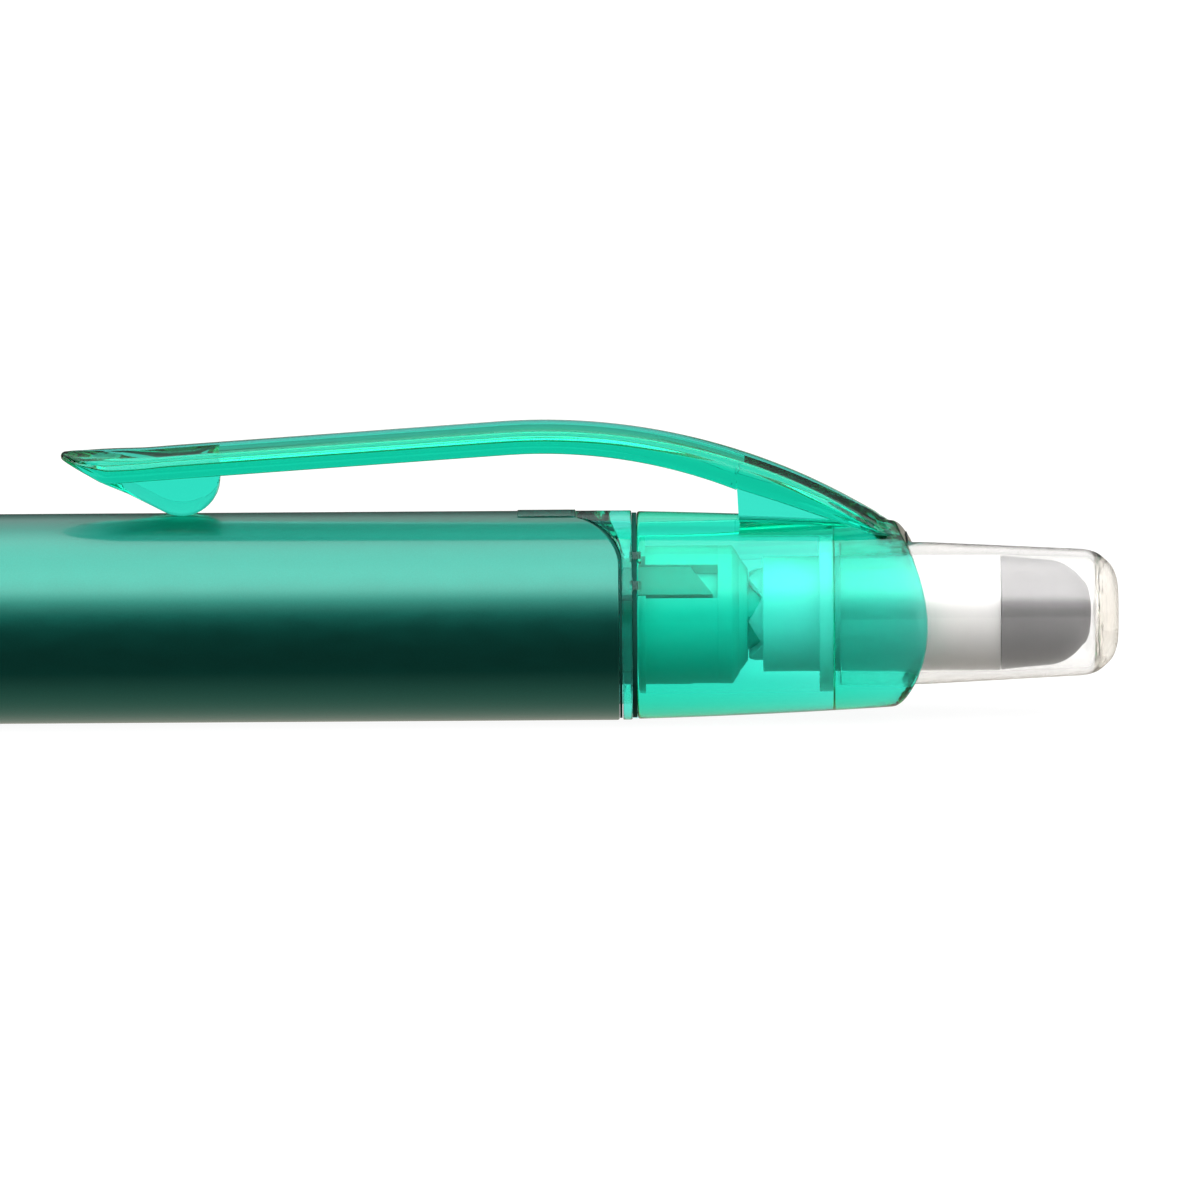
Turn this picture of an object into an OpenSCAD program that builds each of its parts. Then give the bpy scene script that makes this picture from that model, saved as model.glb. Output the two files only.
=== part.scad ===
// Slim retractable highlighter with an eraser under a clear press cap. Millimetres.
// X runs along the pen, with the nib at -X and the press cap at +X. Z is up, and the pen lies on
// the plane Z = 0 with its clip on top. X = 0 is halfway along the pen while its cap is out.
// Inside the modules, "h" is a height above the pen's axis.

/* [Body] */
// Length of the pen with its press cap out
pen_l = 144; // [142:1:150]
// Outside diameter of the barrel
body_d = 10.5; // [10.4:0.1:10.8]
// Length of the nose cone that shows
nose_l = 20; // [18:1:22]
// Length of the rubber grip
grip_l = 30; // [24:1:36]
// Gap between the barrel and the trim ring
seam = 0.12; // [0.08:0.01:0.16]

/* [Rear end] */
// Length of the press cap that stands out of the housing
cap_out = 9.6; // [9:0.1:10]
// Length of the translucent housing
housing_l = 14.5; // [14.3:0.1:14.8]
// Width of the trim ring
ring_w = 0.75; // [0.5:0.05:1]
// Radius of the arc that ends the housing, seen from the side
dome_r = 7.9; // [7.5:0.1:9]

/* [Clip] */
// Width of the clip
clip_w = 4.2; // [3.6:0.1:4.6]
// Height of the clip's top at its crest, above the axis
clip_top = 9.73; // [9.6:0.01:9.9]
// Height of the clip's underside at its crest, above the axis
clip_under = 8.44; // [8.35:0.01:8.5]
// Slope of the clip's straight stretch, in degrees
clip_slope = 3.85; // [3.6:0.01:4]

/* [Click mechanism] */
// Outside diameter of the plunger and the eraser
plunger_d = 5.74; // [5.7:0.01:5.78]
// Number of ribs on the rotor, and of slots in the cam sleeve
ribs = 3; // [3]
// Number of crown teeth on the plunger
teeth = 6; // [6]
// Turns of the return spring
spring_turns = 11; // [9:1:12]

/* [Hidden] */

round_fn = 96;
fit = 0.04;               // running clearance on a radius
body_r = body_d / 2;
rear_x = pen_l / 2;
front_x = -pen_l / 2;

// Stations along the rear half, from the cap forwards.
dome_x = rear_x - cap_out;
joint_x = dome_x - housing_l;
ring_x = joint_x - ring_w;
stop_x = joint_x + 9.85;       // shoulder that the plunger's flange rests on
sleeve_x = joint_x + 0.1;
sleeve_end_x = joint_x + 5.1;
head_end_x = joint_x + 5.5;    // rear face of the rotor's head
crown_x = joint_x + 6.25;      // root of the crown's teeth
stem_end_x = joint_x + 18.18;  // where the eraser's head begins
spigot_x = joint_x - 5.7;

// Stations along the front half, from the nib backwards.
grip_x = front_x + nose_l;
grip_end_x = grip_x + grip_l;
seat_x = front_x + 12;         // the spring's front seat
holder_x = front_x + 26;       // front face of the refill's shoulder
tube_x = holder_x + 1;
tube_end_x = joint_x - 6.9;
film_x = tube_x + 7.5;

// Radii.
barrel_bore_r = 3.9;
rear_bore_r = 4.5;
nose_bore_r = 4.2;
grip_seat_r = body_r - 0.5;
housing_r = body_r - 0.05;
housing_bore_r = 3.95;
mouth_r = 3.65;
plunger_r = plunger_d / 2;
key_r = 4.25;
key_h = 2.6;                   // height of a plunger key
sleeve_r = 3.45;
sleeve_bore_r = 2.9;
neck_r = 1.75;
crown_r = 2.3;
rib_turn = -7;                 // turn of the first rib from straight down, in degrees
rib_w = 1.5;
slot_w = 1.75;
chamber_r = 3.5;
tube_r = 3.4;
tube_bore_r = 3.0;
nib_r = 1.5;
tail_r = 1.8;
spring_r = 3.0;
wire_r = 0.2;

// The clip, seen from the side: straight lines that run into arcs about one crest.
crest_x = joint_x - 4.7;
top_arc_r = 31.7;
under_arc_r = 26;
top_c = [crest_x, clip_top - top_arc_r];
under_c = [crest_x, clip_under - under_arc_r];
hinge = [joint_x + 5.15, clip_top - 2.36];
hinge_r = 0.68;
hinge_tilt = 19;
tip_c = [joint_x - 28.5, clip_top - 1.49];
tip_r = 0.18;
tip_run = 4;                   // length of the level stretch behind the tip
ramp_a = 27.23;                // slope of the ramp under the tip
pad_r = 1.95;
pad_c = [joint_x - 22.65, body_r + 0.02 + pad_r];
pad_w = 2.8;

function arc(c, r, a0, a1, n = 16) =
    [for (i = [0:n]) let (a = a0 + (a1 - a0) * i / n) [c[0] + r * cos(a), c[1] + r * sin(a)]];

// Point at distance d from p, at an angle.
function beyond(p, d, a) = [p[0] + d * cos(a), p[1] + d * sin(a)];

// Stands the pen's axis at its height above the ground.
module on_axis() {
    translate([0, 0, body_r]) children();
}

// Solid turned about the axis from an outline of [radius, x] points.
module turned(outline) {
    rotate([0, 90, 0]) rotate_extrude($fn = round_fn) polygon(outline);
}

// Tube about the axis from x0 to x1.
module tube(x0, x1, r_out, r_in = 0) {
    turned([[r_in, x0], [r_out, x0], [r_out, x1], [r_in, x1]]);
}

// Side-view outline of [x, h] points, w wide across the pen.
module slab(outline, w) {
    rotate([90, 0, 0]) linear_extrude(w, center = true) polygon(outline);
}

// Children once for each of n places around the axis, the first turned from straight down.
module around(n, turn = 0) {
    for (k = [0:n - 1]) rotate([turn + k * 360 / n, 0, 0]) children();
}

// Outer skin of the housing behind the parting line, with the end cut to an arc.
module housing_skin(grow = 0) {
    steps = 12;
    l = housing_l;
    outline = [for (i = [0:steps]) let (t = l * i / steps)
        [housing_r - 0.022 * t - 0.0015 * t * t + grow, joint_x + t]];
    intersection() {
        turned(concat([[0, joint_x]], outline, [[0, joint_x + l]]));
        translate([dome_x - dome_r, 0, 0]) rotate([90, 0, 0]) {
            cylinder(r = dome_r + grow, h = 3 * body_r, center = true, $fn = round_fn);
            translate([-l, -l, -l]) cube([l, 2 * l, 2 * l]);
        }
    }
}

// Region above the scooped end of the barrel, seen from the side. reach moves its edge forwards.
module scoop(reach = 0) {
    lip_h = body_r - 0.1;
    rise = 1.95;
    run = 2.4;
    edge = [for (i = [0:24]) let (a = 90 - 90 * i / 24)
        [ring_x - run + run * cos(a) - reach, lip_h - rise + rise * sin(a) - reach]];
    slab(concat([[joint_x - 5.9 - reach, 2 * body_r], [joint_x - 5.9 - reach, lip_h - reach / 2]],
                edge,
                [[ring_x - reach, -2 * body_r], [joint_x, -2 * body_r], [joint_x, 2 * body_r]]),
         3 * body_r);
}

module barrel() {
    color("#1f7f6c") on_axis() difference() {
        turned([[nose_bore_r, grip_x], [grip_seat_r, grip_x], [grip_seat_r, grip_end_x],
                [body_r - 0.15, grip_end_x], [body_r, grip_end_x + 0.15], [body_r, joint_x],
                [rear_bore_r, joint_x], [rear_bore_r, spigot_x - 0.2],
                [barrel_bore_r, spigot_x - 0.2], [barrel_bore_r, grip_x + 8],
                [nose_bore_r, grip_x + 8]]);
        scoop(seam);
    }
}

// Rubber sleeve with finger rings on its front half.
module grip() {
    ring_pitch = 1.9;
    ring_d = 0.3;
    rings = 7;
    first_x = grip_x + 1.6;
    color("#12574a") on_axis() difference() {
        turned([[grip_seat_r, grip_x + 0.05], [body_r - 0.3, grip_x + 0.05],
                [body_r, grip_x + 0.6], [body_r, grip_end_x - 0.4],
                [body_r - 0.2, grip_end_x - 0.05], [grip_seat_r, grip_end_x - 0.05]]);
        for (i = [0:rings - 1]) {
            x = first_x + i * ring_pitch;
            turned([[body_r - ring_d, x + 0.35], [body_r + 1, x], [body_r + 1, x + 1.3],
                    [body_r - ring_d, x + 0.95]]);
        }
    }
}

// Nose that screws into the barrel and holds the spring's front seat.
module nose_cone() {
    tip_out_r = 2.35;
    root_r = body_r - 0.15;
    mouth = 1.95;
    skin = [for (i = [0:20]) let (t = i / 20)
        [tip_out_r + (root_r - tip_out_r) * pow(sin(90 * t), 0.92), front_x + nose_l * t]];
    color("#2fc49a") on_axis() turned(concat(
        [[mouth, front_x + 0.25], [mouth + 0.2, front_x]], skin,
        [[nose_bore_r - fit, grip_x], [nose_bore_r - fit, grip_x + 7.6], [chamber_r, grip_x + 7.6],
         [chamber_r, seat_x], [mouth + 0.6, seat_x], [mouth + 0.5, seat_x - 2.2],
         [mouth, seat_x - 5.5]]));
}

// Translucent ring between barrel and housing, with a tongue that fills the barrel's scoop.
module trim_ring() {
    color("#35c79d") on_axis() intersection() {
        tube(joint_x - 7, joint_x - 0.02, body_r, rear_bore_r + 0.01);
        scoop();
    }
}

module rear_housing() {
    key_reach = 5.2;
    color("#35d6a8") on_axis() difference() {
        union() {
            housing_skin();
            tube(spigot_x, joint_x + 0.5, rear_bore_r - fit);
        }
        tube(spigot_x - 1, stop_x, housing_bore_r);
        tube(stop_x - 1, rear_x, mouth_r);
        for (side = [90, -90]) rotate([side, 0, 0])
            translate([stop_x - key_reach, -key_h / 2 - fit, 0])
                cube([key_reach, key_h + 2 * fit, key_r + fit]);
    }
}

// Side view of the clip behind the hinge: the arched top runs down and rounds into the housing.
function base_outline() =
    let (end_a = 57.8, end_r = 3.7, last = beyond(top_c, top_arc_r, end_a),
         end_c = beyond(last, -end_r, end_a))
    concat(arc(top_c, top_arc_r, 90 - hinge_tilt + 1.3, end_a),
           arc(end_c, end_r, end_a, 0),
           [[end_c[0] + end_r, 2], [joint_x + 5.05, 2],
            [joint_x + 5.05, hinge[1] - hinge_r], hinge]);

module clip_base() {
    color("#3fd3a8") on_axis() difference() {
        slab(base_outline(), clip_w);
        housing_skin();
        // The block under the arm is narrower than the arm.
        for (side = [-1, 1]) translate([joint_x + 4, side * clip_w / 2 - 0.6, 0])
            cube([2.2, 1.2, hinge[1] - hinge_r]);
        translate([hinge[0], 0, hinge[1]]) rotate([90, 0, 0])
            cylinder(r = hinge_r + fit, h = 2 * clip_w, center = true, $fn = 48);
        translate([hinge[0], 0, hinge[1]]) rotate([0, hinge_tilt, 0])
            translate([-5, -clip_w, -5]) cube([5, 2 * clip_w, 10]);
    }
}

// Side view of the clip in front of the hinge, without the pad under its tip.
function arm_outline() =
    let (top_end = beyond(top_c, top_arc_r, 90 + clip_slope),
         under_end = beyond(under_c, under_arc_r, 90 + clip_slope),
         tip_low = beyond(tip_c, tip_r, 270 - ramp_a),
         fall = tan(clip_slope) + tan(ramp_a),
         gap = tip_low[1] - (under_end[1] - (under_end[0] - tip_low[0]) * tan(clip_slope)),
         turn = [tip_low[0] + gap / fall, tip_low[1] - gap / fall * tan(ramp_a)])
    concat(arc(tip_c, tip_r, 90, 270 - ramp_a, 10),
           [turn],
           arc(under_c, under_arc_r, 90 + clip_slope, 90 - hinge_tilt - 2.3),
           arc(top_c, top_arc_r, 90 - hinge_tilt + 1, 90 + clip_slope),
           [[tip_c[0] + tip_run,
             top_end[1] - (top_end[0] - tip_c[0] - tip_run) * tan(clip_slope)]]);

// Side view of the pad that presses on the barrel, with the ramp that leads cloth under it.
function pad_outline() =
    concat([beyond(tip_c, tip_r, 270 - ramp_a)],
           arc(pad_c, pad_r, 270 - ramp_a, 355, 22),
           [[pad_c[0] + pad_r, pad_c[1] + 0.6]]);

module clip_arm() {
    nose_run = 3.4;
    nose_shape = [for (i = [0:18]) let (a = 90 + 180 * i / 18)
        [tip_c[0] - tip_r + nose_run + nose_run * cos(a), clip_w / 2 * sin(a)]];
    color("#3fd3a8") on_axis() intersection() {
        union() {
            slab(arm_outline(), clip_w);
            slab(pad_outline(), pad_w);
            translate([hinge[0], 0, hinge[1]]) rotate([90, 0, 0])
                cylinder(r = hinge_r, h = clip_w, center = true, $fn = 48);
        }
        linear_extrude(3 * body_r)
            polygon(concat(nose_shape, [[rear_x, -clip_w / 2], [rear_x, clip_w / 2]]));
    }
}

// Fixed sleeve with the slots that the rotor's ribs run in, and a flange in front.
module cam_sleeve() {
    slot_end_x = joint_x + 4.05;
    flange_end_x = sleeve_x + 0.4;
    color("#e8efe9") on_axis() difference() {
        turned([[sleeve_bore_r, sleeve_x], [housing_bore_r - 0.02, sleeve_x],
                [housing_bore_r - 0.02, flange_end_x], [sleeve_r, flange_end_x],
                [sleeve_r, sleeve_end_x - 0.35], [sleeve_bore_r, sleeve_end_x]]);
        around(ribs, rib_turn) translate([sleeve_x - 1, -slot_w / 2, -body_r])
            cube([slot_end_x - sleeve_x + 1, slot_w, body_r]);
    }
}

// V grooves that leave a crown of teeth on a tube's end. The grooves point along +X.
module crown_grooves(n, x, depth) {
    half = crown_r * tan(180 / n);
    around(n) rotate([180, 0, 0])
        linear_extrude(body_r) polygon([[x - 0.5, half * 1.2], [x, half], [x + depth, 0],
                                        [x, -half], [x - 0.5, -half * 1.2]]);
}

// Turning cam: ribs with slanted ends, a head that the crown pushes and a neck inside the plunger.
module rotor() {
    head_r = sleeve_bore_r - 0.05;
    rotor_x = joint_x - 1.9;
    rib_x = joint_x - 1.3;
    rib_l = 5.1;
    slant = 1.1;
    neck_end_x = joint_x + 8.6;
    color("#f2f5f0") on_axis() difference() {
        union() {
            turned([[0, rotor_x], [head_r, rotor_x], [head_r, head_end_x - 0.4],
                    [crown_r, head_end_x], [neck_r, head_end_x], [neck_r, neck_end_x],
                    [0, neck_end_x]]);
            around(ribs, rib_turn) translate([0, 0, -sleeve_r + 0.05]) linear_extrude(1.2)
                polygon([[rib_x, rib_w / 2], [rib_x + rib_l, rib_w / 2],
                         [rib_x + rib_l - slant, -rib_w / 2], [rib_x, -rib_w / 2]]);
        }
        tube(rotor_x - 1, joint_x + 2.1, tail_r + 0.05);
    }
}

// Push rod: crown teeth in front, a stop flange with two keys, and a socket for the eraser.
module plunger() {
    flange_x = stop_x - 0.75;
    flange_l = 0.7;
    tip_x = head_end_x + 0.05;
    color("#f7f8f6") on_axis() difference() {
        union() {
            tube(tip_x, crown_x + 0.1, crown_r);
            tube(crown_x, stem_end_x, plunger_r);
            tube(flange_x, flange_x + flange_l, housing_bore_r - 0.06);
            for (side = [90, -90]) rotate([side, 0, 0]) translate([flange_x, -key_h / 2, 0])
                cube([flange_l, key_h, key_r - fit]);
        }
        tube(crown_x - 2, stop_x - 0.2, neck_r + 0.1);
        tube(stem_end_x - 4.8, rear_x, 2.2);
        crown_grooves(teeth, tip_x, crown_x - tip_x);
    }
}

// Grey eraser: a shank in the plunger's socket and a head with a rounded end.
module eraser() {
    head_x = stem_end_x + 0.03;
    round_l = 2.4;
    round_r = 2.64;
    head_l = 4.64;
    tip_x = head_x + head_l;
    dome = [for (i = [0:12]) let (a = 90 * i / 12)
        [round_r * cos(a), tip_x - round_l + round_l * sin(a)]];
    color("#9b999c") on_axis() turned(concat(
        [[0, stem_end_x - 4.7], [2.19, stem_end_x - 4.7], [2.19, head_x],
         [plunger_r - 0.03, head_x]], dome));
}

// Clear cap that slides over the plunger's stem and is pressed to click the pen.
module press_cap() {
    cap_x = stop_x + 0.3;
    shoulder_x = rear_x - 1.6;
    bore_end_x = rear_x - 1.1;
    round_out = [for (i = [0:10]) let (a = 90 * i / 10)
        [1.55 + 1.6 * cos(a), shoulder_x + 1.6 * sin(a)]];
    round_in = [for (i = [0:8]) let (a = 90 - 90 * i / 8)
        [1.75 + 0.97 * cos(a), bore_end_x - 0.8 + 0.8 * sin(a)]];
    color("#f4f1ea") on_axis() turned(concat(
        [[plunger_r + 0.06, cap_x], [mouth_r - 0.07, cap_x], [mouth_r - 0.1, dome_x]],
        round_out, [[0, rear_x], [0, bore_end_x]], round_in,
        [[plunger_r + 0.03, stem_end_x]]));
}

// Height of the wire's centre along the spring: the end turns lie closed.
function spring_at(turn, l) =
    let (closed = 2 * wire_r * 1.04, free = l - 2 * wire_r - 2 * closed,
         open = spring_turns - 2)
    wire_r + (turn < 1 ? closed * turn
        : turn > spring_turns - 1 ? closed + free + closed * (turn - spring_turns + 1)
        : closed + free * (turn - 1) / open);

// Wire swept along the spring's helix, as rings of points.
module return_spring() {
    sides = 8;
    per_turn = 18;
    rings = spring_turns * per_turn;
    l = holder_x - seat_x - 0.06;
    points = [for (i = [0:rings], j = [0:sides - 1])
        let (a = 360 * i / per_turn, b = 360 * j / sides, r = spring_r + wire_r * cos(b))
        [seat_x + 0.03 + spring_at(i / per_turn, l) + wire_r * sin(b), r * cos(a), r * sin(a)]];
    skin = [for (i = [0:rings - 1], j = [0:sides - 1])
        let (k = (j + 1) % sides, p = i * sides, q = p + sides)
        each [[p + j, q + j, q + k], [p + j, q + k, p + k]]];
    caps = [[for (j = [0:sides - 1]) j], [for (j = [sides - 1:-1:0]) rings * sides + j]];
    color("#b9bcc0") on_axis() polyhedron(points, concat(skin, caps));
}

// Fibre nib with a chisel end.
module nib() {
    tip_x = front_x + 0.7;
    color("#5fe07f") on_axis() difference() {
        tube(tip_x, tube_x + 15.5, nib_r);
        slab([[tip_x - 1, -2], [tip_x - 1, 2], [tip_x + 3 * nib_r * tan(30) + 0.2, 2],
              [tip_x - 0.2, -2]], 2 * body_r);
        for (side = [-1, 1]) translate([tip_x - 0.4, side * 0.6, 0]) rotate([0, 0, side * 14])
            translate([-1, side > 0 ? 0 : -4, -4]) cube([8, 4, 8]);
    }
}

// Moulded holder: a tapered snout round the nib, the spring's rear shoulder and a plug.
module nib_holder() {
    color("#eef1ee") on_axis() turned([
        [nib_r + 0.02, front_x + 3.6], [nib_r + 0.3, front_x + 3.6], [nib_r + 0.35, front_x + 11],
        [2.3, front_x + 14], [2.3, holder_x], [tube_r - 0.05, holder_x],
        [tube_r - 0.05, tube_x - 0.02], [tube_bore_r - 0.02, tube_x - 0.02],
        [tube_bore_r - 0.02, film_x - 0.2], [nib_r + 0.02, film_x - 0.2]]);
}

module refill_tube() {
    color("#dff0e2") on_axis() tube(tube_x, tube_end_x, tube_r, tube_bore_r);
}

module reservoir_film() {
    color("#f5f7f5") on_axis() tube(film_x, tube_end_x - 4, tube_bore_r - 0.02, tube_bore_r - 0.1);
}

module ink_reservoir() {
    color("#8be8a2") on_axis() difference() {
        tube(film_x, tube_end_x - 4, tube_bore_r - 0.12);
        tube(film_x - 1, tube_x + 15.6, nib_r + 0.02);
    }
}

// Plug that closes the refill, with a tail that sits in the rotor.
module refill_plug() {
    color("#e9ecea") on_axis() turned([
        [0, tube_end_x - 3.8], [tube_bore_r - 0.02, tube_end_x - 3.8],
        [tube_bore_r - 0.02, tube_end_x + 0.02], [tube_r, tube_end_x + 0.02],
        [tube_r, tube_end_x + 1], [tail_r, tube_end_x + 1], [tail_r, joint_x + 1.9],
        [0, joint_x + 1.9]]);
}

barrel();
grip();
nose_cone();
trim_ring();
rear_housing();
clip_base();
clip_arm();
cam_sleeve();
rotor();
plunger();
eraser();
press_cap();
return_spring();
nib();
nib_holder();
refill_tube();
reservoir_film();
ink_reservoir();
refill_plug();
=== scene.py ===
"""A slim retractable highlighter with an eraser under a clear press cap.

Lengths are in millimetres until a mesh is made. X runs along the pen towards the cap, Z is up, and
the pen's axis is AXIS_H above the floor. An angle round the axis is in degrees: 0 is straight up,
and it grows towards -Y, the side that the camera sees.
"""

import math

import bmesh
import bpy
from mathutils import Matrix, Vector


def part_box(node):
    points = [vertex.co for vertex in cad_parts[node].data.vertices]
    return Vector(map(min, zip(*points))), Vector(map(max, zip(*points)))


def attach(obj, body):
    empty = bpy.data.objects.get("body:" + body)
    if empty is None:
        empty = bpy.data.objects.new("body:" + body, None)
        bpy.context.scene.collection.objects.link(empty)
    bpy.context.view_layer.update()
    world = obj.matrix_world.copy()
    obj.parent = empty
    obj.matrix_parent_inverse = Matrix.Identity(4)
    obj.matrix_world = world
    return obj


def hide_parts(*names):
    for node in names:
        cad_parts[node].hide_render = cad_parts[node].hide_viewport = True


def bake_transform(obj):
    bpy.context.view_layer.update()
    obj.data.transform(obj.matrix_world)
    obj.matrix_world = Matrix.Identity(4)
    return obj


MM = 0.001

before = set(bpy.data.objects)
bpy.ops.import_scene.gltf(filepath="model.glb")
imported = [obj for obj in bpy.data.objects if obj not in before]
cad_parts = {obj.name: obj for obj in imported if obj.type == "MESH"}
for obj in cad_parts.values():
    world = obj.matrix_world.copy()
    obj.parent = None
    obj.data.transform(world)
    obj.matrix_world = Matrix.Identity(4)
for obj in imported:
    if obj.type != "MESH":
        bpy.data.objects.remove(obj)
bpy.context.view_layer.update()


def span(node):
    """First and last X of a CAD node, in millimetres."""
    lo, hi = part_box(node)
    return lo.x / MM, hi.x / MM


# Stations along the pen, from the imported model.
FRONT_X = span("nose_cone")[0]
REAR_X = span("press_cap")[1]
DOME_X = span("rear_housing")[1]
SPIGOT_X = span("rear_housing")[0]
GRIP_X, GRIP_END_X = span("grip")
BARREL_X = span("barrel")[0]
NOSE_END_X = span("nose_cone")[1]
ERASER_X, ERASER_END_X = span("eraser")
SPRING_X, SPRING_END_X = span("return_spring")
AXIS_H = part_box("barrel")[1].z / MM / 2

# Sizes that repeat the part's own. The trim ring starts at RING_X and meets the housing at
# JOINT_X. Behind that come the cam's slotted sleeve, the end of the cam's head, the roots of the
# plunger's teeth, the step that stops the plunger's flange, and the end of its stem.
JOINT_X = DOME_X - 14.5
RING_X = JOINT_X - 0.75
SLEEVE_X = JOINT_X + 0.1
SLOT_END_X = JOINT_X + 4.05
SLEEVE_END_X = JOINT_X + 5.1
HEAD_END_X = JOINT_X + 5.5
CROWN_X = JOINT_X + 6.25
STOP_X = JOINT_X + 9.85
STEM_END_X = JOINT_X + 18.18
# The barrel, with a seat for the grip and sockets for the housing and the nose.
BODY_R = AXIS_H
GRIP_SEAT_R = 4.75
SOCKET_R = 4.5
NOSE_SOCKET_R, NOSE_SOCKET_L = 4.2, 8
BARREL_BORE_R = 3.9
# The housing and the clip.
SPIGOT_R = 4.46
BORE_R = 3.95
MOUTH_R = 3.65
DOME_R = 7.9
CLIP_W = 4.2
# The click mechanism. RIB_TURN is the angle of the cam's first rib.
SLEEVE_R, SLEEVE_BORE_R = 3.45, 2.9
SLOT_W = 1.75
CAM_R, NECK_R, TAIL_R = 2.85, 1.75, 1.85
RIBS, RIB_TURN, RIB_W = 3, 173, 1.42
PLUNGER_R, CROWN_R = 2.87, 2.3
TEETH = 6
ERASER_R, SHANK_R, SHANK_L = 2.64, 2.2, 4.8

# Steps round a turned piece.
SEGMENTS = 224


# ---------------------------------------------------------------- meshes


def at(x, r, angle):
    """Point at a radius and an angle round the pen's axis, in metres."""
    a = math.radians(angle)
    return Vector((x, -r * math.sin(a), AXIS_H + r * math.cos(a))) * MM


def height(r, angle):
    """Height above the axis of a point at a radius and an angle."""
    return r * math.cos(math.radians(angle))


def mix(a, b, t):
    return a + (b - a) * t


def ease(t):
    t = min(max(t, 0), 1)
    return t * t * (3 - 2 * t)


def curve_through(points):
    """Function that passes through (x, value) points in order, with straight stretches."""

    def value(x):
        if x <= points[0][0]:
            return points[0][1]
        for (x0, v0), (x1, v1) in zip(points, points[1:]):
            if x <= x1:
                return mix(v0, v1, (x - x0) / (x1 - x0))
        return points[-1][1]

    return value


def fillet(points, radius, steps=4):
    """Closed outline with its corners rounded, apart from those on the axis.

    A corner may bring its own radius as a third value.
    """
    out = []
    for i, point in enumerate(points):
        here = Vector(point[:2])
        if here.y == 0:
            out.append((here.x, here.y))
            continue
        r = point[2] if len(point) > 2 else radius
        before = Vector(points[i - 1][:2]) - here
        after = Vector(points[(i + 1) % len(points)][:2]) - here
        cut = min(r, 0.45 * before.length, 0.45 * after.length)
        start, end = here + before.normalized() * cut, here + after.normalized() * cut
        for k in range(steps + 1):
            t = k / steps
            p = start * (1 - t) ** 2 + here * 2 * t * (1 - t) + end * t**2
            out.append((p.x, p.y))
    return out


def quarter_turn(steps):
    """Angles in radians that cut a quarter turn into equal steps, without its start."""
    return [math.radians(90 * k / steps) for k in range(1, steps + 1)]


class Shape:
    """Closed shells that together make one object."""

    def __init__(self):
        self.bm = bmesh.new()

    def grid(self, rows, closed_rows, closed_columns, caps=False):
        """Skins a list of rows of points. caps closes the first and last rows."""
        made = [[self.bm.verts.new(p) for p in row] for row in rows]
        n, m = len(made), len(made[0])
        for i in range(n if closed_rows else n - 1):
            for j in range(m if closed_columns else m - 1):
                a, b = made[i], made[(i + 1) % n]
                k = (j + 1) % m
                self.bm.faces.new((a[j], b[j], b[k], a[k]))
        if caps:
            self.bm.faces.new(made[0])
            self.bm.faces.new(reversed(made[-1]))
        return self

    def turned(self, outline):
        """Solid turned about the axis. outline is (x, r) points, or a function of the angle."""
        rows = []
        for i in range(SEGMENTS):
            angle = 360 * i / SEGMENTS
            loop = outline(angle) if callable(outline) else outline
            rows.append([at(x, r, angle) for x, r in loop])
        hollow = all(r > 0 for _, r in loop)
        return self.grid(rows, True, hollow)

    def sector(self, outline, middle, half, steps):
        """Part of a turned solid, half degrees each way from a middle angle."""
        angles = [middle - half + 2 * half * i / steps for i in range(steps + 1)]
        rows = [[at(x, r, angle) for x, r in outline] for angle in angles]
        return self.grid(rows, False, True, caps=True)

    def rib(self, outline, angle, r0, r1):
        """Bar from radius r0 to r1 at an angle. outline is its (x, sideways) points."""
        a = math.radians(angle)
        out = Vector((0, -math.sin(a), math.cos(a)))
        side = Vector((0, -math.cos(a), -math.sin(a)))
        rows = [
            [(Vector((x, 0, AXIS_H)) + side * s + out * r) * MM for x, s in outline]
            for r in (r0, r1)
        ]
        return self.grid(rows, False, True, caps=True)

    def loft(self, sections):
        """Sections of (x, y, h) points, all with the same number of points."""
        rows = [[Vector((x, y, AXIS_H + h)) * MM for x, y, h in s] for s in sections]
        return self.grid(rows, False, True, caps=True)

    def finish(self, name, body, material, slot, replaces=(), sharp=35):
        """Makes the object. body is None for a piece that is blended between two bodies."""
        bmesh.ops.remove_doubles(self.bm, verts=self.bm.verts, dist=2e-7)
        bmesh.ops.dissolve_degenerate(self.bm, edges=self.bm.edges, dist=1e-7)
        bmesh.ops.recalc_face_normals(self.bm, faces=self.bm.faces)
        mesh = bpy.data.meshes.new(name)
        self.bm.to_mesh(mesh)
        self.bm.free()
        mesh.shade_smooth()
        mesh.set_sharp_from_angle(angle=math.radians(sharp))
        mesh.materials.append(material)
        piece = bpy.data.objects.new(name, mesh)
        bpy.context.scene.collection.objects.link(piece)
        even = piece.modifiers.new("even shading", "WEIGHTED_NORMAL")
        even.keep_sharp = True
        even.weight = 80
        if body:
            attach(piece, body)
        if replaces:
            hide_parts(*replaces)
        return piece


# ---------------------------------------------------------------- materials


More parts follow.
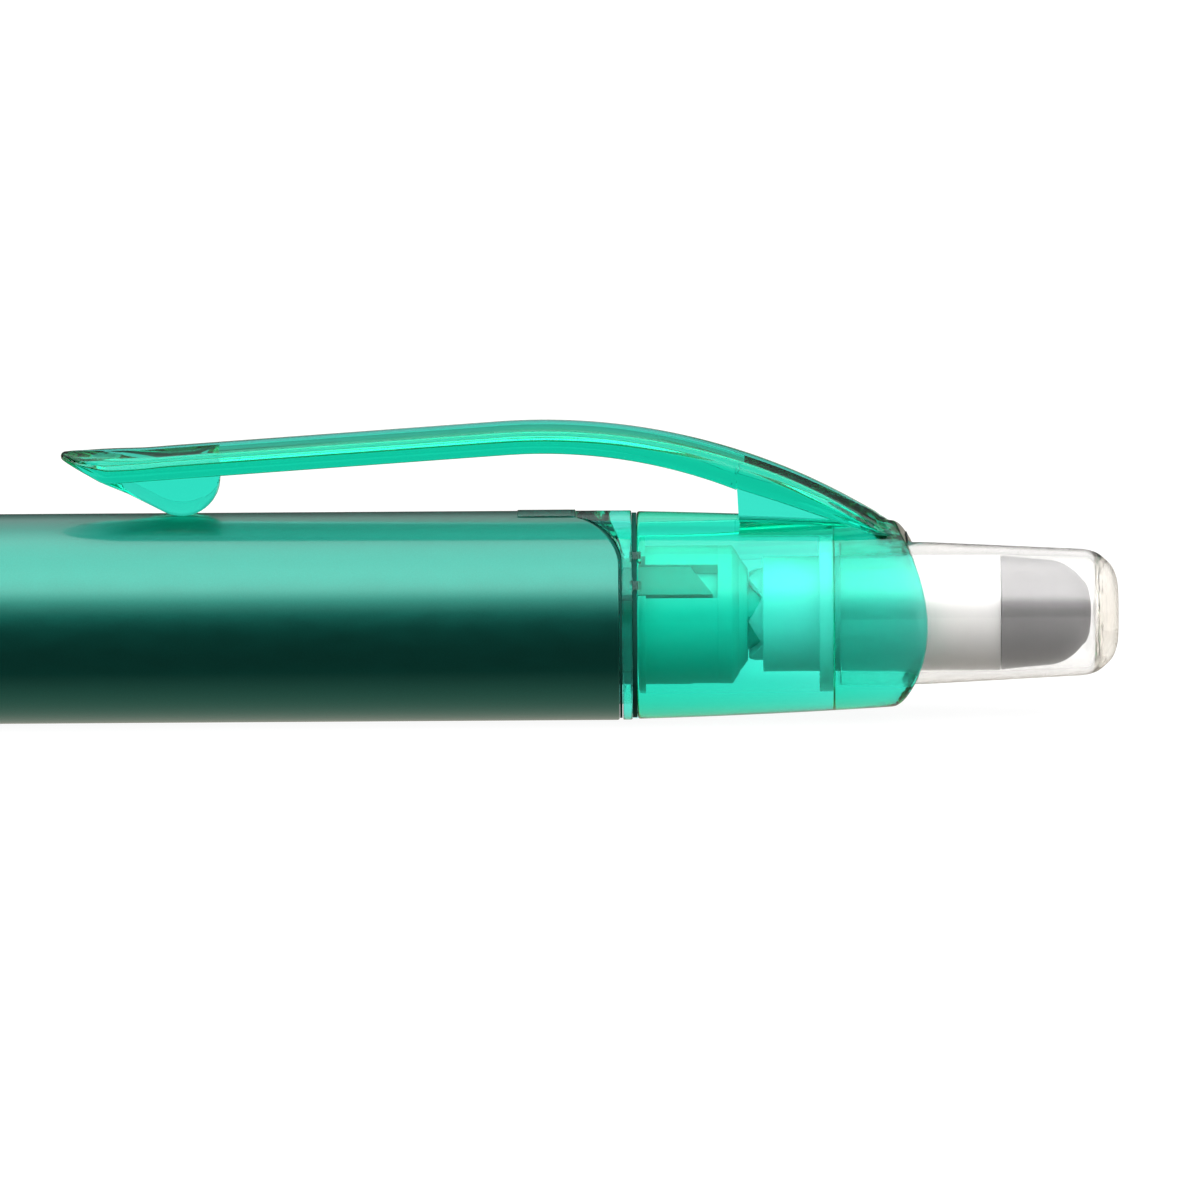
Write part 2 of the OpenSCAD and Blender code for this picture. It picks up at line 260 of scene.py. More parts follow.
class Nodes:
    """Shorthand for the node tree of a material or of the world."""

    def __init__(self, owner, shader="Principled BSDF", output="Material Output"):
        owner.use_nodes = True
        self.owner = owner
        self.tree = owner.node_tree
        self.shader = self.tree.nodes[shader]
        self.output = self.tree.nodes[output]

    def add(self, kind, **inputs):
        node = self.tree.nodes.new(kind)
        for key, value in inputs.items():
            node.inputs[key.replace("_", " ")].default_value = value
        return node

    def link(self, source, target):
        self.tree.links.new(source, target)

    def set(self, **inputs):
        for key, value in inputs.items():
            self.shader.inputs[key.replace("_", " ")].default_value = value

    def parts(self, vector):
        """The X, Y and Z of a vector, as a node's outputs."""
        split = self.add("ShaderNodeSeparateXYZ")
        self.link(vector, split.inputs["Vector"])
        return split.outputs

    def noise(self, scale, detail=2.0, stretch=(1, 1, 1)):
        """Noise over the object's own space; scale is per metre."""
        place = self.add("ShaderNodeTexCoord")
        mapping = self.add("ShaderNodeMapping", Scale=stretch)
        texture = self.add("ShaderNodeTexNoise", Scale=scale, Detail=detail)
        self.link(place.outputs["Object"], mapping.inputs["Vector"])
        self.link(mapping.outputs["Vector"], texture.inputs["Vector"])
        return texture.outputs["Fac"]

    def math(self, operation, *values):
        node = self.add("ShaderNodeMath")
        node.operation = operation
        for socket, value in zip(node.inputs, values):
            if isinstance(value, (int, float)):
                socket.default_value = value
            else:
                self.link(value, socket)
        return node.outputs[0]

    def ranged(self, source, low, high, from_low=0.3, from_high=0.7, shape="LINEAR"):
        """Maps from_low to low and from_high to high, and holds still outside them."""
        node = self.add(
            "ShaderNodeMapRange", From_Min=from_low, From_Max=from_high, To_Min=low, To_Max=high
        )
        node.interpolation_type = shape
        self.link(source, node.inputs["Value"])
        return node.outputs["Result"]

    def blend(self, factor, low, high):
        """Colour between two others, which are (r, g, b) or sockets."""
        node = self.add("ShaderNodeMix")
        node.data_type = "RGBA"
        for socket, value in ((node.inputs["A"], low), (node.inputs["B"], high)):
            if isinstance(value, tuple):
                socket.default_value = (*value, 1)
            else:
                self.link(value, socket)
        self.link(factor, node.inputs["Factor"])
        return node.outputs["Result"]

    def color(self, factor, low, high):
        self.link(self.blend(factor, low, high), self.shader.inputs["Base Color"])

    def roughness(self, factor, low, high):
        self.link(self.ranged(factor, low, high), self.shader.inputs["Roughness"])

    def bump(self, source, distance, strength=1.0):
        """Bump on top of any that is there already."""
        node = self.add("ShaderNodeBump", Strength=strength, Distance=distance)
        self.link(source, node.inputs["Height"])
        normal = self.shader.inputs["Normal"]
        if normal.is_linked:
            self.link(normal.links[0].from_socket, node.inputs["Normal"])
        self.link(node.outputs["Normal"], normal)


def new_material(name):
    return Nodes(bpy.data.materials.new(name))


def pearl_paint():
    m = new_material("pearl_metallic_green")
    flakes = m.noise(16000, 3)
    cloud = m.noise(1400, 2, (0.4, 1, 1))
    m.set(Metallic=1.0, IOR=1.5, Coat_Weight=0.9, Coat_Roughness=0.12)
    m.color(flakes, (0.007, 0.170, 0.128), (0.013, 0.225, 0.172))
    m.roughness(cloud, 0.36, 0.40)
    m.bump(flakes, 0.000004, 0.5)
    return m.owner


def clear_plastic(name, absorb, density, ripple_x, ior=1.49, shine=(1, 1, 1), coat=0.0):
    """Clear moulded plastic. absorb is the colour that a long path keeps, shine tints its gloss.

    Beyond ripple_x, in millimetres, the surface has the uneven skin of a moulding's gate end.
    """
    m = new_material(name)
    m.set(Transmission_Weight=1.0, IOR=ior, Base_Color=(1, 1, 1, 1))
    m.set(Specular_Tint=(*shine, 1), Coat_Weight=coat, Coat_IOR=1.6, Coat_Roughness=0.16)
    flow = m.noise(900, 2, (0.35, 1, 1))
    m.roughness(flow, 0.015, 0.04)
    m.bump(flow, 0.00001, 0.35)
    place = m.add("ShaderNodeTexCoord")
    x = m.parts(place.outputs["Object"])["X"]
    near_end = m.ranged(x, 0, 1, ripple_x * MM, (ripple_x + 0.8) * MM)
    m.bump(m.math("MULTIPLY", near_end, m.noise(1300, 1)), 0.00006)
    volume = m.add("ShaderNodeVolumeAbsorption", Color=(*absorb, 1), Density=density)
    m.link(volume.outputs["Volume"], m.output.inputs["Volume"])
    return m.owner


def moulded(name, low, high, rough, subsurface=0.0, radius=0.0004, clear=0.0):
    """Opaque or milky moulded plastic with faint flow marks. radius is in metres."""
    m = new_material(name)
    flow = m.noise(1200, 3, (0.3, 1, 1))
    grain = m.noise(9000, 2)
    m.set(IOR=1.49, Subsurface_Weight=subsurface, Subsurface_Scale=radius)
    m.set(Subsurface_Radius=(1, 1, 1), Transmission_Weight=clear)
    m.color(flow, low, high)
    m.roughness(flow, rough, rough + 0.08)
    m.bump(grain, 0.000003, 0.4)
    return m.owner


def rubber(name, low, high, rough, grain_scale, grain_depth, gloss=0.5):
    m = new_material(name)
    grain = m.noise(grain_scale, 4)
    speck = m.noise(grain_scale * 0.4, 5)
    m.set(IOR=1.45, Specular_IOR_Level=gloss)
    m.color(speck, low, high)
    m.roughness(grain, rough, rough + 0.12)
    m.bump(grain, grain_depth, 0.8)
    return m.owner


def wire_steel():
    m = new_material("spring_steel")
    drawn = m.noise(6000, 2, (1, 0.2, 0.2))
    m.set(Metallic=1.0)
    m.color(drawn, (0.42, 0.43, 0.45), (0.62, 0.63, 0.65))
    m.roughness(drawn, 0.22, 0.34)
    return m.owner


def fibre(name, low, high):
    """Bonded fibres that run along the pen."""
    m = new_material(name)
    strand = m.noise(9000, 3, (0.03, 1, 1))
    m.set(IOR=1.4, Sheen_Weight=0.2)
    m.color(strand, low, high)
    m.roughness(strand, 0.75, 0.95)
    m.bump(strand, 0.00004, 0.8)
    return m.owner


PAINT = pearl_paint()
# Reflections in the green plastic are tinted, so that they stay green.
GREEN_SHINE = (0.5, 0.8, 0.75)
GREEN = clear_plastic(
    "clear_green", (0.036, 0.932, 0.846), 1400, DOME_X - 1.6, shine=GREEN_SHINE
)
CLIP_GREEN = clear_plastic(
    "clip_green", (0.08, 0.905, 0.825), 1400, DOME_X - 1.6, shine=GREEN_SHINE
)
# The cap bends light less than real plastic does, and a coat gives it the gloss of one.
CAP = clear_plastic("clear_cap", (0.97, 0.92, 0.84), 250, REAR_X - 1.5, ior=1.33, coat=1.0)
# Painted shade: a darker copy of the natural plastic for the cam's ribs, so that they look shaded.
RIB_PAINTED_SHADE = moulded("cam_rib_painted_shade", (0.01, 0.30, 0.25), (0.02, 0.36, 0.30), 0.55, 0.1)
WHITE = moulded("white_plastic", (0.86, 0.86, 0.85), (0.93, 0.93, 0.92), 0.34, 0.9, 0.002)
NATURAL = moulded(
    "natural_plastic", (0.12, 0.70, 0.62), (0.18, 0.76, 0.68), 0.42, 0.12, 0.001, clear=0.08
)
FILM = moulded("film_wrap", (0.85, 0.86, 0.85), (0.92, 0.93, 0.92), 0.25)
ERASER = rubber("grey_eraser", (0.15, 0.146, 0.152), (0.18, 0.176, 0.182), 0.4, 7000, 0.000002)
RUBBER = rubber("grip_rubber", (0.012, 0.105, 0.085), (0.020, 0.145, 0.115), 0.5, 9000, 0.00001)
# Near-black rubber for painted shadow: it fills the joints' gaps, where there is only shade.
PAINTED_JOINT_SHADE = rubber(
    "joint_shadow", (0.001, 0.030, 0.022), (0.002, 0.045, 0.034), 0.7, 9000, 0.000005, gloss=0.1
)
STEEL = wire_steel()
INK = fibre("ink_fibre", (0.10, 0.70, 0.12), (0.28, 0.95, 0.25))

for node, material in {
    "nib": INK,
    "ink_reservoir": INK,
    "nib_holder": WHITE,
    "refill_plug": WHITE,
    "refill_tube": NATURAL,
    "reservoir_film": FILM,
}.items():
    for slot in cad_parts[node].material_slots:
        slot.material = material


# ---------------------------------------------------------------- barrel, grip and nose

# The barrel's rear edge is scooped out on top: from the height LIP_H it comes down by SCOOP_RISE,
# over an arc that reaches forward by SCOOP_RUN.
LIP_H = BODY_R - 0.1
SCOOP_RISE = 1.95
SCOOP_RUN = 2.4
SCOOP_GAP = 0.1


def scoop_x(h):
    """Where the barrel's rear edge lies at a height above the axis."""
    up = (h - LIP_H + SCOOP_RISE) / SCOOP_RISE
    if up <= 0:
        return RING_X
    return RING_X - SCOOP_RUN + SCOOP_RUN * math.sqrt(max(0, 1 - up * up))


def barrel_outline(angle):
    end_out = scoop_x(height(BODY_R, angle)) - SCOOP_GAP
    end_in = scoop_x(height(SOCKET_R, angle)) - SCOOP_GAP
    return fillet(
        [
            (BARREL_X, NOSE_SOCKET_R),
            (BARREL_X, GRIP_SEAT_R),
            (GRIP_END_X + 0.05, GRIP_SEAT_R),
            (GRIP_END_X + 0.05, BODY_R, 0.15),
            (end_out, BODY_R, 0.11),
            (end_in, SOCKET_R),
            (SPIGOT_X - 0.2, SOCKET_R),
            (SPIGOT_X - 0.2, BARREL_BORE_R),
            (BARREL_X + NOSE_SOCKET_L, BARREL_BORE_R),
            (BARREL_X + NOSE_SOCKET_L, NOSE_SOCKET_R),
        ],
        0.03,
    )


Shape().turned(barrel_outline).finish(
    "barrel_shell", "body", PAINT, "metallic_green", ["barrel"]
)


def grip_outline():
    """Sleeve with finger rings on its front half, and a fine groove near its rear edge."""
    first, pitch, rings = GRIP_X + 1.55, 1.9, 7
    ring_floor = BODY_R - 0.3
    points = [
        (GRIP_X, GRIP_SEAT_R, 0.02),
        (GRIP_X, ring_floor, 0.1),
        (GRIP_X + 0.55, BODY_R, 0.3),
    ]
    for i in range(rings):
        x = first + i * pitch
        points += [
            (x, BODY_R, 0.15),
            (x + 0.3, ring_floor, 0.18),
            (x + 1.0, ring_floor, 0.18),
            (x + 1.3, BODY_R, 0.15),
        ]
    groove = GRIP_END_X - 2.2
    points += [
        (groove, BODY_R, 0.08),
        (groove + 0.15, BODY_R - 0.15, 0.08),
        (groove + 0.3, BODY_R, 0.08),
        (GRIP_END_X - 0.35, BODY_R, 0.2),
        (GRIP_END_X, BODY_R - 0.2, 0.08),
        (GRIP_END_X, GRIP_SEAT_R, 0.02),
    ]
    return fillet(points, 0.1, 3)


Shape().turned(grip_outline()).finish("grip_sleeve", "body", RUBBER, "grip_rubber", ["grip"])


def nose_outline():
    """Domed nose with a threaded spigot behind it, and a seat for the spring inside."""
    root_x = GRIP_X - 0.05
    length = root_x - FRONT_X
    mouth_r, tip_r, root_r = 1.95, 2.35, BODY_R - 0.15
    spigot_r, thread_r, bore_r = 4.15, 3.98, 3.5
    seat_x = FRONT_X + 12
    skin_steps, turns, pitch = 28, 8, 0.62
    skin = []
    for i in range(1, skin_steps + 1):
        t = i / skin_steps
        bulge = math.sin(math.pi / 2 * t) ** 0.92
        skin.append((FRONT_X + length * t, mix(tip_r, root_r, bulge), 0.12))
    thread = []
    for i in range(turns):
        x = root_x + 2.2 + i * pitch
        thread += [(x, thread_r, 0.02), (x + 0.25, spigot_r, 0.03), (x + 0.37, spigot_r, 0.03)]
    return fillet(
        [
            (FRONT_X + 0.25, mouth_r, 0.1),
            (FRONT_X, mouth_r + 0.18, 0.08),
            (FRONT_X, tip_r, 0.1),
            *skin,
            (root_x, spigot_r, 0.05),
            (root_x + 1.6, spigot_r, 0.05),
            (root_x + 1.9, thread_r, 0.05),
            *thread,
            (NOSE_END_X, thread_r, 0.1),
            (NOSE_END_X, bore_r, 0.05),
            (seat_x, bore_r, 0.1),
            (seat_x, mouth_r + 0.6, 0.05),
            (seat_x - 2.2, mouth_r + 0.5, 0.3),
            (seat_x - 5.5, mouth_r, 0.5),
        ],
        0.05,
        3,
    )


Shape().turned(nose_outline()).finish("nose_shell", "nose", GREEN, "clear_green", ["nose_cone"])


# ---------------------------------------------------------------- trim ring and housing

RING_END_X = JOINT_X - 0.2
HOUSING_X = JOINT_X + 0.05
RING_R, RING_BORE_R = BODY_R - 0.01, 4.52


def ring_outline(angle):
    """Ring whose front edge follows the barrel's scoop."""
    last_front = RING_END_X - 0.3
    front_out = min(scoop_x(height(BODY_R, angle)) + 0.08, last_front)
    front_in = min(scoop_x(height(RING_BORE_R, angle)) + 0.08, last_front)
    return fillet(
        [
            (front_in, RING_BORE_R),
            (front_out, RING_R, 0.06),
            (RING_END_X, RING_R, 0.1),
            (RING_END_X, RING_BORE_R),
        ],
        0.04,
    )


def tongue_outline():
    """Thin tongue that lies on the barrel in front of the ring."""
    front, end, under_r, top_r = JOINT_X - 5.9, JOINT_X - 3.0, BODY_R - 0.09, BODY_R + 0.05
    return fillet([(front, under_r), (front, top_r), (end, top_r), (end, under_r)], 0.05, 3)


ring = Shape().turned(ring_outline)
ring.sector(tongue_outline(), 0, 11, 16)
ring.finish("trim_ring_clear", "body", GREEN, "clear_green", ["trim_ring"])


def housing_r(x):
    t = x - JOINT_X
    return BODY_R - 0.05 - 0.022 * t - 0.0015 * t * t


def dome_x(h):
    """Where the housing's rear end lies at a height above the axis."""
    return DOME_X - DOME_R + math.sqrt(DOME_R**2 - h * h)


def housing_outline(angle):
    # The skin's end lies on both the taper and the dome, so it is found in a few rounds.
    end = DOME_X
    for _ in range(12):
        end = dome_x(height(housing_r(end), angle))
    skin = [mix(HOUSING_X, end, i / 10) for i in range(1, 10)]
    r_end = housing_r(end)
    lip = mix(r_end, MOUTH_R, 0.5)
    return fillet(
        [
            (SPIGOT_X, SPIGOT_R, 0.05),
            (HOUSING_X, SPIGOT_R, 0.05),
            (HOUSING_X, housing_r(HOUSING_X), 0.16),
            *[(x, housing_r(x), 0.3) for x in skin],
            (end, r_end, 0.3),
            (dome_x(height(lip, angle)), lip, 0.1),
            (dome_x(height(MOUTH_R, angle)), MOUTH_R, 0.08),
            (STOP_X, MOUTH_R, 0.05),
            (STOP_X, BORE_R, 0.08),
            (SPIGOT_X, BORE_R, 0.05),
        ],
        0.05,
        3,
    )


Shape().turned(housing_outline).finish(
    "housing_shell", "body", GREEN, "clear_green", ["rear_housing"]
)

# Snap lugs that cross the gap between the ring and the housing, the same on both sides.
LUG_ANGLES, LUG_HALF = (45.5, 64, 172), 2.6
lug = fillet(
    [
        (RING_END_X - 0.12, SOCKET_R - 0.02),
        (RING_END_X - 0.12, BODY_R - 0.08),
        (HOUSING_X + 0.22, BODY_R - 0.08),
        (HOUSING_X + 0.22, SOCKET_R - 0.02),
    ],
    0.14,
    4,
)
lugs = Shape()
for lug_angle in LUG_ANGLES:
    for side in (1, -1):
        lugs.sector(lug, side * lug_angle, LUG_HALF, 6)
lugs.finish("snap_lugs", "body", GREEN, "clear_green")

# Painted shadow in the two joints: thin near-black rings stand in for the shade in the gaps
# between the ring and the housing, and along the barrel's scoop.
joint_shade_outline = fillet(
    [
        (RING_END_X + 0.01, SOCKET_R),
        (RING_END_X + 0.01, BODY_R - 0.12),
        (HOUSING_X - 0.01, BODY_R - 0.12),
        (HOUSING_X - 0.01, SOCKET_R),
    ],
    0.02,
    2,
)


def scoop_shade_outline(angle):
    inner_r = 4.95
    out, inner = scoop_x(height(BODY_R, angle)), scoop_x(height(inner_r, angle))
    return [
        (inner - 0.08, inner_r),
        (out - 0.08, BODY_R - 0.1),
        (out + 0.04, BODY_R - 0.1),
        (inner + 0.04, inner_r),
    ]


joint_shade_lines = Shape().turned(joint_shade_outline)
joint_shade_lines.turned(scoop_shade_outline)
joint_shade_lines.finish("painted_joint_shade", "body", PAINTED_JOINT_SHADE, "grip_rubber")


# ---------------------------------------------------------------- clip

# Heights are above the axis. From the tip, the clip is straight and rises at SLOPE_A, runs over
# arcs about its crest, and comes down to its root on the housing.
CREST_X = JOINT_X - 4.7
TOP_H, UNDER_H = 9.73, 8.44
TOP_ARC_R, UNDER_ARC_R = 31.7, 26.0
SLOPE_A = math.radians(3.85)
RAMP_A = math.radians(27.23)
TIP_X = JOINT_X - 28.68
TIP_R = 0.18
TIP_H = TOP_H - 1.49
TIP_TAPER = 3.4
ROOT_X = JOINT_X + 5.05
REAR_TOP_X = JOINT_X + 12.1
CLIP_END_X = JOINT_X + 13.6
PAD_X, PAD_R = JOINT_X - 22.65, 1.95
PAD_END_X = PAD_X + PAD_R
PAD_H = BODY_R + 0.02
# Length over which the root block comes down onto the housing.
SINK = 0.12


def arched(top, radius):
    """Side view of a straight stretch that runs into an arc about the crest."""
    reach = radius * math.sin(SLOPE_A)

    def h(x):
        dx = CREST_X - x
        if dx <= reach:
            return top - radius + math.sqrt(radius**2 - dx * dx)
        return top - radius + math.sqrt(radius**2 - reach**2) - (dx - reach) * math.tan(SLOPE_A)

    return h


clip_top_line = arched(TOP_H, TOP_ARC_R)
clip_under_line = arched(UNDER_H, UNDER_ARC_R)
clip_rear_top = curve_through(
    [(REAR_TOP_X, 4.86), (JOINT_X + 12.6, 4.56), (JOINT_X + 13.1, 4.1), (CLIP_END_X, 3.82)]
)
clip_rear_under = curve_through(
    [
        (ROOT_X, 6.62),
        (JOINT_X + 7.1, 5.95),
        (JOINT_X + 9.5, 5.1),
        (JOINT_X + 11.8, 4.26),
        (CLIP_END_X, 3.72),
    ]
)
# How far the rounded edges of the top drop.
edge_drop = curve_through(
    [
        (TIP_X, 0.05),
        (TIP_X + 0.8, 0.3),
        (TIP_X + 2.4, 0.36),
        (TIP_X + 5, 0.24),
        (ROOT_X, 0.24),
        (CLIP_END_X, 0.2),
    ]
)


def clip_top(x):
    """Height of the top: a round nose, a level stretch that eases into the line, and the rear."""
    nose_end, level_l, half_ease = TIP_X + TIP_R, 4, 1.5
    level_end = nose_end + level_l
    if x < level_end + half_ease:
        nose = TIP_H + math.sqrt(max(0, TIP_R**2 - max(0, nose_end - x) ** 2))
        level = mix(nose, clip_top_line(level_end), max(0, x - nose_end) / level_l)
        into_line = ease((x - level_end + half_ease) / (2 * half_ease))
        return mix(level, clip_top_line(x), into_line)
    if x > REAR_TOP_X:
        return clip_rear_top(x)
    return clip_top_line(x)


def clip_ramp(x):
    """Underside of the tip, which runs down to the pad."""
    start = TIP_X + TIP_R * (1 - math.sin(RAMP_A))
    if x > start:
        return TIP_H - TIP_R * math.cos(RAMP_A) - (x - start) * math.tan(RAMP_A)
    return TIP_H - math.sqrt(max(0, TIP_R**2 - (TIP_X + TIP_R - x) ** 2))


def clip_under(x):
    """Height of the underside beside the pad and the root block."""
    if x > ROOT_X:
        return clip_rear_under(x)
    return max(clip_ramp(x), clip_under_line(x))


def pad_under(x):
    """Underside of the pad on the clip's centre line."""
    if x > PAD_END_X:
        return clip_under(x)
    if x > PAD_X - PAD_R * math.sin(RAMP_A):
        return PAD_H + PAD_R - math.sqrt(max(0, PAD_R**2 - (x - PAD_X) ** 2))
    return clip_ramp(x)


def housing_top(x, y):
    """Height of the housing's skin at a distance y from the middle."""
    r = housing_r(min(x, DOME_X))
    return math.sqrt(max(r * r - y * y, 0.01))


def clip_half_width(x):
    near = max(0, TIP_X + TIP_TAPER - x) / TIP_TAPER
    return max(0.02, CLIP_W / 2 * math.sqrt(max(0, 1 - near * near)))


def clip_section(x):
    """Outline across the clip: a bar with a narrower stem under it, the pad or the root block."""
    w = clip_half_width(x)
    top, under = clip_top(x), clip_under(x)
    thick = top - under
    if x >= ROOT_X:
        stem_w = min(1.5, w * 0.6)
        sunk = min(under, housing_top(x, stem_w) - 0.04)
        stem = mix(under, sunk, ease((x - ROOT_X) / SINK))
        stem_round = 0.0
        side_floor = housing_top(x, w) - 0.03
        inner_floor = housing_top(x, stem_w) - 0.03
    else:
        stem_w = min(1.4, w * 0.7)
        stem = min(under, pad_under(x))
        stem_round = min(0.7, under - stem)
        side_floor = inner_floor = under

    # The top is slightly crowned, its edges are rounded, and the sides bulge a little.
    crown = min(0.08, thick * 0.08)
    rim = top - crown
    drop = min(edge_drop(x), thick * 0.35)
    inset = min(drop * 0.9, w * 0.6)
    bulge = min(0.16, w * 0.15)
    round_under = min(0.3, thick * 0.3, w * 0.3)
    side_under = min(max(under, side_floor), rim - drop - round_under - 0.01)
    inner_under = min(max(under, inner_floor), rim - 0.02)
    stem = min(stem, inner_under)
    edge = w - bulge
    flat = edge - inset

    half = [(flat * k / 4, top - crown * (k / 4) ** 2) for k in range(5)]
    for a in quarter_turn(4):
        half.append((flat + inset * math.sin(a), rim - drop + drop * math.cos(a)))
    for k in range(1, 8):
        t = k / 8
        h = mix(rim - drop, side_under + round_under, t)
        half.append((w - bulge * (2 * t - 1) ** 2, h))
    for a in (0, *quarter_turn(3)):
        y = edge - round_under * (1 - math.cos(a))
        half.append((y, side_under + round_under * (1 - math.sin(a))))
    half += [(stem_w, inner_under), (stem_w, stem + stem_round)]
    for a in quarter_turn(3):
        y = stem_w - stem_round * (1 - math.cos(a))
        half.append((y, stem + stem_round * (1 - math.sin(a))))
    half.append((0, stem))
    left = [(-y, h) for y, h in reversed(half[1:-1])]
    return [(x, y, h) for y, h in half + left]


def clip_stations():
    """Where the clip is cut: closely at the round tip, the pad's end and the root."""
    tip = [TIP_X + TIP_TAPER * (1 - math.cos(math.pi / 2 * i / 22)) for i in range(23)]
    pad = [TIP_X + TIP_TAPER + 0.2 * i for i in range(1, 28)]
    pad += [PAD_END_X + d for d in (-0.12, -0.04, 0, 0.03)]
    arm = [mix(PAD_END_X + 0.4, ROOT_X - 0.2, i / 50) for i in range(51)]
    root = [ROOT_X + d for d in (-0.02, 0, 0.03, 0.06, 0.09, SINK)]
    root += [mix(ROOT_X + 0.4, CLIP_END_X, i / 36) for i in range(37)]
    return sorted(set(round(x, 4) for x in tip + pad + arm + root))


clip = Shape().loft([clip_section(x) for x in clip_stations()])
clip = clip.finish(
    "clip_one_piece", None, CLIP_GREEN, "clear_green", ["clip_base", "clip_arm"], 32
)
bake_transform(clip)


# ---------------------------------------------------------------- click mechanism

# The sleeve is fingers in front, with slots between them for the cam's ribs, and a ring behind.
sleeve = Shape().turned(
    fillet(
        [
            (SLOT_END_X - 0.01, SLEEVE_BORE_R),
            (SLOT_END_X - 0.01, SLEEVE_R),
            (SLEEVE_END_X - 0.35, SLEEVE_R, 0.06),
            (SLEEVE_END_X, SLEEVE_BORE_R),
        ],
        0.03,
        2,
    )
)
finger = fillet(
    [
        (SLEEVE_X, SLEEVE_BORE_R),
        (SLEEVE_X, BORE_R - 0.02),
        (SLEEVE_X + 0.4, BORE_R - 0.02),
        (SLEEVE_X + 0.4, SLEEVE_R),
        (SLOT_END_X + 0.01, SLEEVE_R),
        (SLOT_END_X + 0.01, SLEEVE_BORE_R),
    ],
    0.03,
    2,
)
rib_angles = [RIB_TURN + 360 / RIBS * k for k in range(RIBS)]
finger_half = 180 / RIBS - math.degrees(math.asin(SLOT_W / 2 / SLEEVE_R))
for rib_angle in rib_angles:
    sleeve.sector(finger, rib_angle + 180 / RIBS, finger_half, 40)
sleeve.finish("cam_sleeve_slotted", "body", NATURAL, "natural_plastic", ["cam_sleeve"])

NECK_END_X = JOINT_X + 8.6
cam = Shape().turned(
    fillet(
        [
            (JOINT_X + 2.1, 0),
            (JOINT_X + 2.1, TAIL_R),
            (JOINT_X - 1.9, TAIL_R),
            (JOINT_X - 1.9, CAM_R),
            (HEAD_END_X - 0.4, CAM_R, 0.05),
            (HEAD_END_X, CROWN_R, 0.05),
            (HEAD_END_X, NECK_R, 0.05),
            (NECK_END_X, NECK_R, 0.2),
            (NECK_END_X, 0),
        ],
        0.05,
        3,
    )
)
cam.finish("turning_cam", "refill", NATURAL, "natural_plastic", ["rotor"])
rib = [
    (JOINT_X - 1.3, -RIB_W / 2),
    (JOINT_X + 2.7, -RIB_W / 2),
    (JOINT_X + 3.8, RIB_W / 2),
    (JOINT_X - 1.3, RIB_W / 2),
]
# The ribs wear the darker copy of the natural plastic: painted shade.
cam_ribs = Shape()
for rib_angle in rib_angles:
    cam_ribs.rib(rib, rib_angle, CAM_R - 0.05, SLEEVE_R - 0.05)
cam_ribs.finish("cam_ribs", "refill", RIB_PAINTED_SHADE, "natural_plastic")


def tooth(angle):
    """How far back the crown's front lies, from 0 at a tooth's tip to 1 in a groove."""
    pitch = 360 / TEETH
    off = (angle - 180 + pitch / 2) % pitch - pitch / 2
    return 1 - abs(off) / (pitch / 2)


SHANK_X = STEM_END_X - SHANK_L
FLANGE_X, FLANGE_L, FLANGE_R = STOP_X - 0.75, 0.7, BORE_R - 0.06


def plunger_outline(angle):
    """Tube with a crown of teeth in front, a flange, and a wider socket for the eraser."""
    crown = mix(HEAD_END_X + 0.05, CROWN_X, tooth(angle))
    skin = fillet(
        [
            (crown, TAIL_R),
            (crown, CROWN_R),
            (CROWN_X + 0.02, CROWN_R),
            (CROWN_X + 0.02, PLUNGER_R, 0.06),
            (FLANGE_X, PLUNGER_R),
            (FLANGE_X, FLANGE_R, 0.05),
            (FLANGE_X + FLANGE_L, FLANGE_R, 0.05),
            (FLANGE_X + FLANGE_L, PLUNGER_R),
            (STEM_END_X, PLUNGER_R, 0.08),
            (STEM_END_X, SHANK_R),
            (SHANK_X, SHANK_R),
            (SHANK_X, 0),
        ],
        0.03,
        3,
    )
    return [*skin[:-1], (SHANK_X, TAIL_R)]


# A wall behind the cam's neck closes the plunger's front bore.
wall_x, wall_end_x, wall_r = STOP_X - 0.2, SHANK_X - 0.1, TAIL_R + 0.01
plunger = Shape().turned(plunger_outline)
plunger.turned([(wall_x, 0), (wall_x, wall_r), (wall_end_x, wall_r), (wall_end_x, 0)])
plunger.finish("push_rod", "pusher", WHITE, "white_plastic", ["plunger"])

ERASER_DOME = 2.4
eraser_skin = []
for degrees in range(0, 90, 6):
    a = math.radians(degrees)
    skin_x = ERASER_END_X - ERASER_DOME * (1 - math.sin(a))
    eraser_skin.append((skin_x, ERASER_R * math.cos(a), 0.05))
eraser = Shape().turned(
    fillet(
        [
            (ERASER_X, 0),
            (ERASER_X, SHANK_R - 0.01),
            (STEM_END_X + 0.03, SHANK_R - 0.01),
            (STEM_END_X + 0.03, PLUNGER_R - 0.03, 0.1),
            *eraser_skin,
            (ERASER_END_X, 0),
        ],
        0.05,
        2,
    )
)
eraser.finish("eraser_tip", "pusher", ERASER, "eraser_rubber", ["eraser"])

CAP_X = STOP_X + 0.3
CAP_FLOOR_X = REAR_X - 1.1
press_cap = Shape().turned(
    fillet(
        [
            (CAP_FLOOR_X, 0),
            (CAP_FLOOR_X, 2.72, 0.6),
            (STEM_END_X, PLUNGER_R + 0.03, 0.4),
            (CAP_X, PLUNGER_R + 0.06, 0.05),
            (CAP_X, MOUTH_R - 0.07, 0.1),
            (DOME_X, MOUTH_R - 0.1, 0.5),
            (REAR_X - 1.6, 3.15, 0.5),
            (REAR_X - 1.0, 2.97, 0.4),
            (REAR_X - 0.25, 2.3, 0.4),
            (REAR_X, 1.5, 0.35),
            (REAR_X, 0),
        ],
        0.1,
        6,
    )
)
press_cap.finish("clear_press_cap", "cap", CAP, "clear_cap", ["press_cap"])


# ---------------------------------------------------------------- return spring

TURNS, WIRE_R, SPRING_R = 11, 0.2, 3.0
TURN_STEPS, WIRE_SIDES = 36, 12


